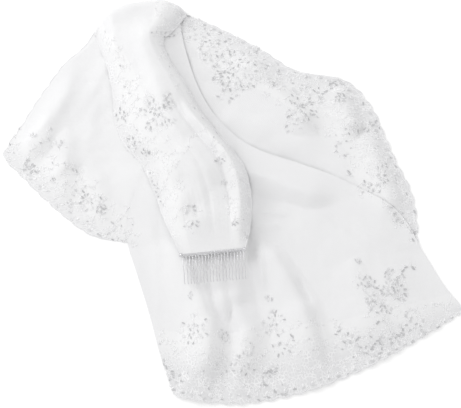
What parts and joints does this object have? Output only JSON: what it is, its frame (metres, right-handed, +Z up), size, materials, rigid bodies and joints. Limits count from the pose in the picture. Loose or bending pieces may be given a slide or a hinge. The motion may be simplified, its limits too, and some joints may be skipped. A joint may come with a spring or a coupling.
{
  "type": "lace bridal veil on a wire comb",
  "caption": "Two-tier tulle bridal veil with scalloped lace edges, gathered on a wire hair comb and folded as it lies on a flat surface.",
  "frame": {"origin": "on the surface it lies on, under the middle of the whole spread-out veil", "axes": "+Z up, +X across the spread from the short tier's left tip to the long tier's right corner, +Y from the comb towards the turn at the far end"},
  "size_m": [0.5778, 0.5166, 0.0515],
  "materials": {
    "comb_wire": "bright silver-plated wire",
    "tulle": "fine soft net, slightly sheer white",
    "lace": "white embroidery on net with small clear sequins"
  },
  "bodies": {
    "root": {"comb": "comb_wire", "short_tier": "tulle", "long_tier": "tulle", "left_lace_edge": "lace", "right_lace_edge": "lace", "hem_lace": "lace"}
  },
  "joints": []
}
